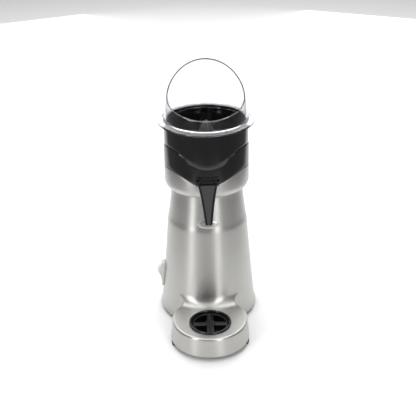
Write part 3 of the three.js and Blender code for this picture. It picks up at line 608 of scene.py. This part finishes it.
# ---- Bowl ----------------------------------------------------------------------------------------
# Injection-moulded in glossy black. A ledge line sweeps round it in step with the collar, the wall
# swells forward over the spout, and an outlet opens under the lip of that swelling.

RIM_Z, BOWL_R, BOWL_IN, LEDGE_Z = 394, 78.6, 75.0, 379
MOUTH_HALF, MOUTH_TOP, MOUTH_BACK = 20.6, 308, 83.4
HUB_Z = 331
LEDGE_FRONT, LEDGE_CREST, LEDGE_BACK = 329, 355, 343
PROW = 2.4


def prow(angle, z):
    """How far the wall under the ledge swells out: PROW across the middle, then a smooth step down
    to nothing between 15 and 38 degrees at the mouth, between 22 and 30 at the ledge."""
    rise = np.clip((z - MOUTH_TOP) / (LEDGE_FRONT - MOUTH_TOP), 0, 1)
    inner, outer = 15 + 7 * rise, 38 - 8 * rise
    across = np.clip((outer - np.abs(angle)) / (outer - inner), 0, 1)
    return PROW * across**2 * (3 - 2 * across)


gloss = Finish("black_gloss", (0.0075, 0.007, 0.0075), 0.10)
flow = gloss.noise((40, 40, 40), 2)
specks = gloss.noise((900, 900, 900), 2)
gloss.tint(flow, 0.15)
gloss.shade(Roughness=0.03 + 0.02 * flow + 0.02 * specks)
gloss.bump(flow, 0.03, 0.0005)

mouth_angle = np.degrees(np.arcsin(MOUTH_HALF / MOUTH_BACK))
step_angles = np.array([-mouth_angle - 0.03, -mouth_angle, mouth_angle, mouth_angle + 0.03])
bowl_angles = np.sort(np.concatenate((
    np.linspace(-180, -45, 54), np.linspace(-44, 44, 89), np.linspace(45, 180, 54), step_angles)))
line = wave(bowl_angles, LEDGE_FRONT, LEDGE_CREST, LEDGE_BACK)
skirt_top = collar_edge(bowl_angles) + 1.3
floor_z = 305 - 5 * np.cos(np.radians(bowl_angles))
in_mouth = np.abs(bowl_angles) <= mouth_angle
recess = MOUTH_BACK / np.cos(np.radians(bowl_angles))


def wall_at(z):
    """Radius of the wall under the ledge at every angle of bowl_angles."""
    return BOWL_R + 0.9 + prow(bowl_angles, z)


low_out = np.where(in_mouth, recess, wall_at(skirt_top))
lip_z = np.where(in_mouth, MOUTH_TOP, skirt_top + 6)
lip_in = np.where(in_mouth, recess, wall_at(lip_z))
bowl_corners = [
    (9.4, 306), (72.6, floor_z - 3), (72.6, DECK_Z + 0.3), (76.2, DECK_Z + 0.3),
    (76.2, skirt_top), (low_out, skirt_top), (lip_in, lip_z), (wall_at(lip_z), lip_z)]
under_ledge = line - 2.0 - prow(bowl_angles, line)
rows_up = [lip_z + (under_ledge - lip_z) * share for share in (0.45, 0.9)]
bowl_corners += [(wall_at(z), z) for z in rows_up]
bowl_corners += [(wall_at(line), under_ledge), (BOWL_R - 0.7, line)]
rows_over = [line + (RIM_Z - 4 - line) * share for share in (0.04, 0.3, 0.6, 0.9, 1)]
bowl_corners += [(BOWL_R - 0.4, z) for z in rows_over]
bowl_corners += [
    (BOWL_R, RIM_Z), (BOWL_IN + 0.4, RIM_Z), (BOWL_IN + 0.1, LEDGE_Z), (71, LEDGE_Z - 0.6),
    (71, LEDGE_Z - 4), (73.4, LEDGE_Z - 7), (72.6, floor_z + 4), (68.6, floor_z), (12.6, 309),
    (12.6, HUB_Z), (9.4, HUB_Z)]
bowl_soft = [0.5, 1, 0.6, 0.6, 0.4, 0.5, 0.4, 0.8, 3, 0.4, 0.35, 0.35, 0.4, 4, 4, 4, 4,
             1.1, 1.1, 0.5, 0.8, 0.8, 1.5, 4, 4, 1.5, 0.8, 0.8]
bowl_grid = turned(rounded(section(bowl_angles, bowl_corners), bowl_soft, 4), bowl_angles)
surface("bowl", [bowl_grid], gloss, "bowl", ["juice_bowl"], 32)

LUG_R = 3.8
lug_y, lug_z = -91.0, 304.0  # the spout's pivot


def cross_pin(radius, x_from, x_to, soft=0.5):
    """A pin along X through the pivot: circles that shrink to the middle at each end."""
    low, high = sorted((x_from, x_to))
    stations = np.array([[low, 0], [low, radius - soft], [low + soft, radius],
                         [high - soft, radius], [high, radius - soft], [high, 0]])
    turn = np.linspace(0, 2 * np.pi, 37)
    return np.stack((np.broadcast_to(stations[:, :1], (6, 37)),
                     lug_y + stations[:, 1:] * np.cos(turn),
                     lug_z + stations[:, 1:] * np.sin(turn)), -1)


def lug(x_from, x_to):
    """A round-nosed arm from the bowl's wall to the pivot: a half circle and two straight sides."""
    turn = np.linspace(np.pi / 2, 1.5 * np.pi, 19)
    nose = np.stack((lug_y + LUG_R * np.cos(turn), lug_z + LUG_R * np.sin(turn)), -1)
    tail = np.array([[-82.8, lug_z - 3.4], [-82.8, lug_z + 3.4]])
    outline = np.concatenate((nose, tail, nose[:1]))
    middle = np.array([-88.0, lug_z])
    rows = [(x_from, 1.0), (x_from, 0.1), (x_from + 0.5 * np.sign(x_to - x_from), 0.0)]
    rows += [(x_to - 0.5 * np.sign(x_to - x_from), 0.0), (x_to, 0.1), (x_to, 1.0)]
    flat = [outline + (middle - outline) * draw for _, draw in rows]
    return np.stack([np.column_stack((np.full(len(outline), x), part))
                     for (x, _), part in zip(rows, flat)])


for side_name, way in (("left", -1), ("right", 1)):
    surface(f"spout_lug_{side_name}", [lug(13.3 * way, 16.1 * way)], gloss, "bowl")
    surface(f"spout_pin_{side_name}", [cross_pin(2, 14 * way, 19.8 * way)], gloss, "bowl")

# ---- Spout ---------------------------------------------------------------------------------------
# A black moulded chute, open on top, that narrows to its tip. Round ears at its root turn on the
# bowl's pins, so it swings up to stop the drip.

TIP_Y, TIP_Z = -146.0, 250.0
ROOT_WIDTH, TIP_WIDTH = 40.0, 13.0
CHUTE_TOP, CHUTE_WALL = 2.0, 1.8  # edge above the line from pivot to tip; thickness
chute_t = np.linspace(0, 1, 28)
chute_half = (ROOT_WIDTH - (ROOT_WIDTH - TIP_WIDTH) * chute_t**0.65) / 2
chute_depth = 9.3 - 3.4 * chute_t
chute_corners = section(chute_t, [
    (-chute_half, CHUTE_TOP), (-chute_half + 1.2, -chute_depth), (chute_half - 1.2, -chute_depth),
    (chute_half, CHUTE_TOP), (chute_half - CHUTE_WALL, CHUTE_TOP),
    (chute_half - 2.9, -chute_depth + CHUTE_WALL), (-chute_half + 2.9, -chute_depth + CHUTE_WALL),
    (-chute_half + CHUTE_WALL, CHUTE_TOP)])
chute_outline = rounded(chute_corners, [0.8, 2.6, 2.6, 0.8, 0.8, 1.8, 1.8, 0.8], 5)
chute_outline = np.concatenate((chute_outline, chute_outline[:, :1]), 1)


def chute_points(outline, t):
    """Outline of width and height set square to the line from the pivot down to the tip."""
    fall = np.array([TIP_Y - lug_y, TIP_Z - lug_z])
    up = np.array([fall[1], -fall[0]]) / np.linalg.norm(fall)
    spine = np.array([lug_y, lug_z]) + fall * t[:, None]
    yz = spine[:, None, :] + outline[..., 1:] * up
    return np.concatenate((outline[..., :1], yz), -1)


def chute_end(row):
    """Closes a U-shaped end: each point of the outside meets the one across the wall."""
    half = (len(row) - 1) // 2
    outer, inner = row[:half], row[half:2 * half][::-1]
    return np.stack((outer, inner))


chute = chute_points(chute_outline, chute_t)
surface("chute", [chute, chute_end(chute[0]), chute_end(chute[-1])], gloss, "spout",
        ["spout_chute"])
for side_name, way in (("left", -1), ("right", 1)):
    surface(f"spout_ear_{side_name}", [cross_pin(4, 19.9 * way, 18 * way, 0.4)], gloss, "spout")

# ---- Strainer ------------------------------------------------------------------------------------
# A black moulded basket on the ledge inside the bowl, with rows of radial slots in its floor.

dress(gloss, "strainer")

# ---- Reamer --------------------------------------------------------------------------------------
# A dark grey moulded cone with raised ribs, driven by the shaft's flats through a steel insert.

RIBS, REAMER_TIP, REAMER_TALL = 10, 391, 48
grey = Finish("reamer_grey", (0.075, 0.075, 0.08), 0.28)
skin_grain = grey.noise((500, 500, 500), 3)
grey.tint(skin_grain, 0.12)
grey.shade(Roughness=0.20 + 0.12 * skin_grain)
grey.bump(skin_grain, 0.08, 0.0002)

depth = (REAMER_TALL * np.linspace(0, 1, 60) ** 1.6)[:, None]
rib_turn = np.linspace(0, 2 * np.pi, RIBS * 16 + 1)


def reamer_radius(d):
    """Bullet 3 sqrt(d), blunt at the tip, that flares by an exponential towards its skirt."""
    bullet = 3 * np.sqrt(d) * (1 - np.exp(-d / 2)) * (1 - 0.1 * d / REAMER_TALL)
    return 1 + bullet + 17 * np.exp((d - REAMER_TALL) / 7)


crest = np.abs(np.cos(RIBS * rib_turn / 2)) ** 0.8
groove = 0.3 * np.minimum(1, depth / 6) * np.minimum(1, (REAMER_TALL + 1 - depth) / 9)
ribbed = reamer_radius(depth) * (1 - groove * (1 - crest))
hollow_profile = np.array([[29.0, 0], [29, 1], [17, 10], [10, 31], [0.01, 33]])
hollow_profile[:, 1] += REAMER_TIP - REAMER_TALL


def ring_points(radius, height):
    """Rows of rings round the reamer's axis from columns of radii and heights."""
    return np.stack((radius * np.cos(rib_turn), radius * np.sin(rib_turn),
                     height + 0 * radius * rib_turn), -1)


cone = ring_points(ribbed, REAMER_TIP - depth)
tip_cap = np.broadcast_to([[0, 0, REAMER_TIP + 0.4]], (1, len(rib_turn), 3))
inner_cone = ring_points(hollow_profile[:, :1], hollow_profile[:, 1:])
surface("reamer", [np.concatenate((tip_cap, cone, inner_cone))], grey, "reamer",
        ["reamer_cone"], 50)
dress(plated, "drive_insert")

# ---- Splash hood ---------------------------------------------------------------------------------
# One blow-moulded piece of clear plastic: a brim over the bowl's rim and a swelling dome, with a
# large curved opening cut in front so that it is low in front and high behind.

HOOD_R, HOOD_WALL, SPRING_Z, SEAT_Z = 77.0, 2.0, RIM_Z - 3.0, RIM_Z + 0.3
HOOD_TALL, HOOD_POWER = 115.15, 2.27
DOME_LOW = SEAT_Z + 4  # where the dome leaves the brim
hood_angles = np.linspace(-180, 180, 181)


def hood_radius(z, wall):
    """Superellipse (r/R)^p + (up/H)^p = 1, with the wall taken off both R and H."""
    up = np.clip((z - SPRING_Z) / (HOOD_TALL - wall), 0, 1)
    return (HOOD_R - wall) * (1 - up**HOOD_POWER) ** (1 / HOOD_POWER)


def hood_top(wall):
    """Height of the opening's edge at each angle: 60 halvings on whether a height lies under
    413.6 + 41.8 u - 40.9 u^2 + 60 u^3, where 100 u is the distance behind the hood's front."""
    low = np.full(len(hood_angles), DOME_LOW)
    high = np.full(len(hood_angles), SPRING_Z + HOOD_TALL - wall - 0.01)
    for _ in range(60):
        middle = (low + high) / 2
        u = (HOOD_R - hood_radius(middle, wall) * np.cos(np.radians(hood_angles))) / 100
        under_edge = middle < 413.6 + 41.8 * u - 40.9 * u**2 + 60 * u**3
        low, high = np.where(under_edge, middle, low), np.where(under_edge, high, middle)
    return low


def hood_side(wall):
    """Radius and height from the brim up to the opening's edge, for each angle."""
    z = DOME_LOW + (hood_top(wall)[:, None] - DOME_LOW) * np.linspace(0, 1, 40)
    return np.stack((hood_radius(z, wall), z), -1)


outer_side, inner_side = hood_side(0.0), hood_side(HOOD_WALL)
brim = rounded(np.array([
    [74.6, RIM_Z - 5.0], [74.6, SEAT_Z], [80, SEAT_Z], [84, SEAT_Z - 1.4], [89, SEAT_Z - 3.6],
    [89, SEAT_Z - 1.8], [84.6, SEAT_Z + 0.7], [76.95, SEAT_Z + 2.0], [72.6, SEAT_Z + 1.5],
    [72.6, RIM_Z - 5.0]]), [0.5, 0.3, 1, 2, 0.7, 0.7, 2, 0.8, 0.8, 0.5], 4)
brim = np.broadcast_to(brim, (len(hood_angles), *brim.shape))
BRIM_OUT = 8 * 4  # points of the brim's first eight corners, which lie outside the dome
hood_outline = np.concatenate((
    brim[:, :BRIM_OUT], outer_side, inner_side[:, ::-1], brim[:, BRIM_OUT:]), 1)

clear = Finish("clear_plastic", (0.93, 0.925, 0.955), 0.03, **{
    "Transmission Weight": 1.0, "IOR": 1.45, "Specular IOR Level": 0.5})
haze = clear.noise((30, 30, 30), 2)
clear.shade(Roughness=0.02 + 0.03 * haze)
clear.bump(haze, 0.03, 0.0008)
surface("hood", [turned(hood_outline, hood_angles)], clear, "hood",
        ["splash_hood"], 40)

# ---- Drip cup and grid ---------------------------------------------------------------------------
# A glossy black moulded cup dropped into the tray, with a raised ring round its mouth, and a duller
# lift-out cross of four gabled arms that breaks the fall of the last drips.

cup_outline = rounded(np.array([
    [0, 20], [33, 20], [36, 23], [36, 46.35], [39.2, 46.35], [39.6, 48.2], [38.4, 49.6],
    [36.0, 49.7], [34.8, 48.4], [34.4, 42], [32.2, 41.8], [32.2, 24], [30.6, 22], [0, 22.0]]),
    [0, 2, 2, 0.3, 0.5, 1.1, 1.4, 1.2, 1, 0.4, 0.5, 1, 1.5, 0], 5)
around_cup = np.linspace(-180, 180, 97)
surface("drip_cup_moulding", [turned(cup_outline, around_cup, (0, CUP_Y))], gloss, "drip_cup",
        ["drip_cup"])

dull = Finish("grid_black", (0.008, 0.008, 0.009), 0.3, **{"Specular IOR Level": 0.25})
dull_grain = dull.noise((900, 900, 900), 2)
dull.tint(dull_grain, 0.15)
dull.shade(Roughness=0.22 + 0.1 * dull_grain)
dull.bump(dull_grain, 0.05, 0.0002)
grid_ring = rounded(np.array([[29.8, 42.4], [33.9, 42.4], [33.9, 45.2], [31.8, 45.6], [29.8, 44.8]]),
                    [0.3, 0.3, 0.8, 1, 0.8], 4)
grid_hub = rounded(np.array([[0, 42.4], [10.4, 42.4], [10.4, 44.9], [8.2, 46.5], [0, 46.6]]),
                   [0, 0.3, 0.8, 1.6, 0], 5)
gable = rounded(np.array([[-6.5, 42.4], [6.5, 42.4], [6.5, 44.3], [0, 47.0], [-6.5, 44.3]]),
                [0.3, 0.3, 0.8, 0.9, 0.8], 5)


def grid_arm(turn):
    """The gable's outline carried from under the hub to the ring, turned about the cup's centre."""
    reach = np.array([5.0, 12, 20, 30.6])[:, None]
    outline = np.concatenate((gable, gable[:1]))
    x, y, z = np.broadcast_arrays(outline[:, 0], -reach, outline[:, 1])
    c, s = np.cos(turn), np.sin(turn)
    arm = np.stack((x * c - y * s, CUP_Y + x * s + y * c, z), -1)
    ends = [np.broadcast_to(row.mean(0), row.shape)[None] for row in (arm[0], arm[-1])]
    return np.concatenate((ends[0], arm, ends[1]))


surface("grid_ring", [turned(grid_ring, around_cup, (0, CUP_Y))], dull, "drip_grid",
        ["drip_grid"])
surface("grid_hub", [turned(grid_hub, around_cup, (0, CUP_Y))], dull, "drip_grid")
for arm_index in range(4):
    surface(f"grid_arm_{arm_index + 1}", [grid_arm(arm_index * np.pi / 2)], dull, "drip_grid")
